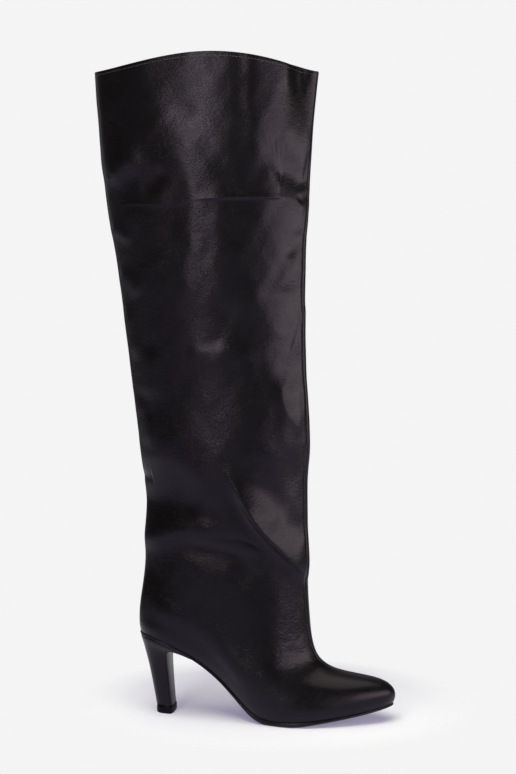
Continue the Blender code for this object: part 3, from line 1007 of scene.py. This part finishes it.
def slab(name, edge, margin, under, over, slot, *nodes):
    """Rings: the outline moved out by margin + out, at under + share * (over - under)."""
    rings = []
    for out, share in edge:
        x, y = outline(margin + out)
        at = np.clip(x, BOTTOM[0][0], BOTTOM[-1][0])
        rings.append(np.stack([x, y, under(at) + share * (over(at) - under(at))], axis=-1))
    return capped_stack(name, np.array(rings), slot, *nodes)


def floor_flat(x):
    """The sole's underside, which is flat where it stands on the floor."""
    return np.maximum(bottom["under_z"](x), 0)


outsole = slab(
    "leather_outsole", SOLE_EDGE, SOLE_MARGIN, floor_flat, lambda x: bottom["feather_z"](x) - GAP,
    "sole", "outsole",
)
insole = slab(
    "insole_sock", INSOLE_EDGE, -INSOLE_INSET, bottom["feather_z"],
    lambda x: bottom["feather_z"](x) + INSOLE_THICK, "lining", "insole",
)

# %% [markdown]
# ## Heel and top lift
# The heel is a block covered with the same leather. Seen from above its section is a squared half
# ellipse at the back and an almost flat breast in front, with rounded corners. The section shrinks
# smoothly downwards, and at the top it spreads forward under the waist of the sole. A tapered block
# could stand in for it, but it would miss the slow curve from the wide seat to the slim neck, which
# a table of sections gives. The rubber top lift at the bottom repeats the last section.

# %% Heel
HEEL_COLUMNS = ("back_x", "breast_x", "half_width", "square", "z", "slope")
# The x at which the table's heights are measured; elsewhere they follow the seat's slope.
HEEL_SEAT_X = -72.0
HEEL = (
    (-99.2, -45.4, 26.2, 2.7, 69.2, 1),
    (-98.6, -56.2, 25, 2.7, 66.8, 1),
    (-97.8, -64.6, 22.8, 2.6, 64, 0.97),
    (-96.8, -68.6, 20.2, 2.5, 60.8, 0.85),
    (-95.5, -70.4, 17.8, 2.4, 56.6, 0.60),
    (-93.8, -71, 15.8, 2.4, 51.2, 0.35),
    (-91.8, -70.6, 14.4, 2.4, 44, 0.15),
    (-89.6, -69.9, 13.4, 2.4, 34, 0),
    (-87, -68.8, 12.6, 2.4, 20, 0),
    (-84.7, -67.6, 12, 2.4, 7.1, 0),
)
LIFT = {"back_x": -84.8, "breast_x": -67.0, "half_width": 12.2, "square": 2.4}
LIFT_HEIGHT = 6.8
BREAST_DEPTH, BREAST_HOLLOW, BREAST_SQUARE = 3.4, 0.5, 2.6
HEEL_RINGS, HEEL_AROUND = 64, 96

heel_sizes = columns(HEEL, HEEL_COLUMNS)


def heel_section(size, turn, inset=0.0):
    """Back half: joint - length |cos|^(2/q), half width |sin|^(2/q). Breast half: joint + depth
    |cos|^(2/p) - hollow cos^2, half width |sin|^(2/p). Inset moves it all inwards."""
    cos, sin = np.cos(turn), np.sin(turn)
    joint = size["breast_x"] - BREAST_DEPTH
    rounded = np.abs(cos) ** (2 / size["square"])
    squared = np.abs(cos) ** (2 / BREAST_SQUARE)
    behind = joint - (joint - size["back_x"] - inset) * rounded
    ahead = joint + (BREAST_DEPTH - inset) * squared - BREAST_HOLLOW * cos**2 * (squared > 0.5)
    across = np.where(cos > 0, np.abs(sin) ** (2 / size["square"]), np.abs(sin) ** (2 / BREAST_SQUARE))
    return np.where(cos > 0, behind, ahead), -(size["half_width"] - inset) * across * np.sign(sin)


def covered_heel():
    """Sections at even steps down the table, each at its height + slope * (seat here - seat at the
    measured x), and nowhere higher than just under the sole."""
    row = np.linspace(0, len(HEEL) - 1, HEEL_RINGS)[:, None]
    turn = turns(HEEL_AROUND)
    size = {name: curve(row) for name, curve in heel_sizes.items()}
    x, y = heel_section(size, turn)
    seat = bottom["under_z"](x)
    z = size["z"] + size["slope"] * (seat - bottom["under_z"](HEEL_SEAT_X))
    rings = np.stack([x, y, np.minimum(z, seat - GAP)], axis=-1)
    return capped_stack("covered_heel", rings, "heel", "heel")


heel = covered_heel()

# %% Top lift
# Each point of its edge: how far it is inset, and its share of the height.
LIFT_EDGE = (
    (2.0, 1.0), (0.75, 1.0), (0.55, 0.97), (0.55, 0.93), (0.12, 0.88), (0.0, 0.80), (0.0, 0.12),
    (0.15, 0.03), (0.6, 0.0), (2.0, 0.0),
)


def top_lift():
    """The heel's section again, with its edge rounded at the floor and grooved under the heel."""
    rings = []
    for inset, share in LIFT_EDGE:
        x, y = heel_section(LIFT, turns(HEEL_AROUND), inset)
        rings.append(np.stack([x, y, np.full_like(x, share * LIFT_HEIGHT)], axis=-1))
    return capped_stack("rubber_top_lift", np.array(rings), "heel_tip", "heel_tip")


lift = top_lift()

# %% [markdown]
# ## The leather
# Polished black leather has almost no colour, so the finish lives in its gloss. A fine grain, small
# pebbles and softer dimples tilt the reflections a little, thin wrinkles cross the worn places, and
# the instep is kneaded by walking. The roughness drifts from place to place, where the polish has
# been rubbed thinner. A tile of leather grain could be laid on, but it would stretch and repeat.
# Noise in the object's own coordinates does neither, and runs on from one panel to the next.

# %% A finish
class Finish(Recipe):
    """A material with one Principled shader, whose even values are set on its own sockets."""

    def __init__(self, name, **even):
        self.material = bpy.data.materials.new(name)
        self.material.use_nodes = True
        super().__init__(self.material.node_tree)
        self.shader = self.tree.nodes["Principled BSDF"]
        for socket, value in even.items():
            self.shader.inputs[socket.replace("_", " ")].default_value = value
        self.place = self.node("ShaderNodeTexCoord", output="Object")

    def noise(self, size, detail=3.0, stretch=(1.0, 1.0, 1.0), distortion=0.0):
        """Noise whose lumps are about size metres across, longer along an axis under 1."""
        mapped = self.node("ShaderNodeMapping", None, {"Vector": self.place, "Scale": stretch})
        return self.node("ShaderNodeTexNoise", None, {
            "Vector": mapped, "Scale": 1 / size, "Detail": detail, "Distortion": distortion})

    def ramp(self, factor, *stops):
        """A factor's value read off a line through the stops, each a place and a value."""
        return self.node("ShaderNodeValToRGB", {"stops": stops}, {"Fac": factor})

    def bump(self, height, distance, under=None):
        """Normals of a relief that is distance metres high, laid over the relief under it."""
        sockets = {"Height": height, "Distance": distance}
        if under is not None:
            sockets["Normal"] = under
        return self.node("ShaderNodeBump", None, sockets)

    def paint(self, **sockets):
        """Feeds the shader's sockets with what varies over the surface."""
        for socket, value in sockets.items():
            self.feed(self.shader.inputs[socket.replace("_", " ")], value)


print("finish recipes ready")

# %% Leather finish
BLACK = (0.0018, 0.0017, 0.002)
RUBBED_BLACK = (0.0042, 0.004, 0.0044)
GLOSS_TINT = (0.78, 0.655, 1.0, 1.0)
INSTEP, INSTEP_REACH, INSTEP_END = (0.045, 0.0, 0.065), (0.055, 0.2, 0.05), 1.2

leather = Finish("black_leather", Specular_Tint=GLOSS_TINT, Specular_IOR_Level=0.25)
drift = leather.noise(0.030, 4.0, distortion=0.4)
rubbed = leather.noise(0.006, 3.0)
dimples = leather.noise(0.016, 1.0)
wander = leather.noise(0.013, 3.0, stretch=(1.0, 1.0, 1.4), distortion=0.8)
used = leather.noise(0.045, 2.0)
creases = leather.ramp(wander, (0.47, 0.0), (0.495, 1.0), (0.505, 1.0), (0.53, 0.0))
worn = leather.ramp(used, (0.50, 0.0), (0.66, 1.0))
pebbles = leather.noise(0.0032, 3.0, stretch=(1.0, 1.0, 1.5))
grain = leather.noise(0.0012, 3.0)
bent = (INSTEP_END - leather.spread(leather.place, INSTEP, INSTEP_REACH)).clamped()
kneaded = leather.noise(0.009, 2.5, stretch=(1.0, 1.0, 1.3), distortion=0.5) * bent
wrinkles = creases * worn
soft = leather.bump(dimples, 0.0003, under=leather.bump(kneaded, 0.0005))
creased = leather.bump(1 - wrinkles, 0.00002, under=soft)
leather.paint(
    Base_Color=leather.mix(wrinkles * 0.6 + pebbles * 0.4, BLACK, RUBBED_BLACK),
    Roughness=0.17 + drift * 0.20 + rubbed * 0.10 + wrinkles * 0.06,
    Normal=leather.bump(grain, 0.00009, under=leather.bump(pebbles, 0.00015, under=creased)),
)
print("leather finish with", len(leather.tree.nodes), "nodes")

# %% [markdown]
# ## The other finishes
# The sole's edge is inked and burnished, the top lift is plain rubber, the lining is a fine black
# twill and the thread is waxed. One plain black could do for all of them from afar. Near by only their
# gloss and grain tell them apart, so each gets its own roughness and a pattern at its real scale,
# read from the object's own coordinates in metres.

# %% Sole and rubber
DEEP_BLACK = (0.0022, 0.002, 0.0026, 1.0)

ink = Finish("inked_sole", Base_Color=DEEP_BLACK, Specular_IOR_Level=0.4, Specular_Tint=GLOSS_TINT)
fibres = ink.noise(0.0006, 3.0, stretch=(0.25, 1.0, 1.0))
rubs = ink.noise(0.018, 4.0)
ink.paint(Roughness=0.30 + rubs * 0.16, Normal=ink.bump(fibres, 0.00003))

rubber = Finish("lift_rubber", Base_Color=DEEP_BLACK, Specular_IOR_Level=0.14, Specular_Tint=GLOSS_TINT)
specks = rubber.noise(0.0008, 2.0)
rubber.paint(Roughness=0.46 + specks * 0.14, Normal=rubber.bump(specks, 0.00004))
print("sole and rubber with", len(ink.tree.nodes), "and", len(rubber.tree.nodes), "nodes")

# %% Lining and thread
TWILL_STEP = 0.0011
TWILL_SLANT = math.radians(28)
WAVE_LENGTH = 0.314  # of a wave texture at scale 1

twill = Finish(
    "lining_twill", Sheen_Weight=0.25, Sheen_Roughness=0.5, Sheen_Tint=GLOSS_TINT, Specular_IOR_Level=0.2,
    Specular_Tint=GLOSS_TINT)
slant = twill.node("ShaderNodeMapping", None, {
    "Vector": twill.place, "Rotation": (0.0, TWILL_SLANT, 0.0)})
ribs = twill.node("ShaderNodeTexWave", {"bands_direction": "Z"}, {
    "Vector": slant, "Scale": WAVE_LENGTH / TWILL_STEP, "Distortion": 0.6, "Detail": 1.0}, 1)
slubs = twill.noise(0.004, 3.0)
shade = twill.mix(ribs * 0.6 + slubs * 0.4, (0.008, 0.0068, 0.0098), (0.022, 0.0188, 0.027))
twill.paint(Base_Color=shade, Roughness=0.72 + slubs * 0.2, Normal=twill.bump(ribs, 0.00008))

thread = Finish("waxed_thread", Specular_IOR_Level=0.5)
twist = thread.noise(0.0005, 2.0)
thread.paint(
    Base_Color=thread.mix(twist, (0.02, 0.019, 0.021), (0.06, 0.056, 0.062)),
    Roughness=0.34 + twist * 0.2,
)
print("lining and thread with", len(twill.tree.nodes), "and", len(thread.tree.nodes), "nodes")

# %% [markdown]
# ## Putting it together
# Each piece could take its finish where it is made, but one list shows at a glance that none is left
# bare, and that the heel block wears the same leather as the panels.

# %% Each piece gets its finish
FINISHES = {
    leather: [*panels, heel],
    ink: [outsole],
    rubber: [lift],
    twill: [lining, insole],
    thread: [stitches],
}
for finish, made_of_it in FINISHES.items():
    for piece in made_of_it:
        piece.data.materials.append(finish.material)
print({finish.material.name: len(made_of_it) for finish, made_of_it in FINISHES.items()})
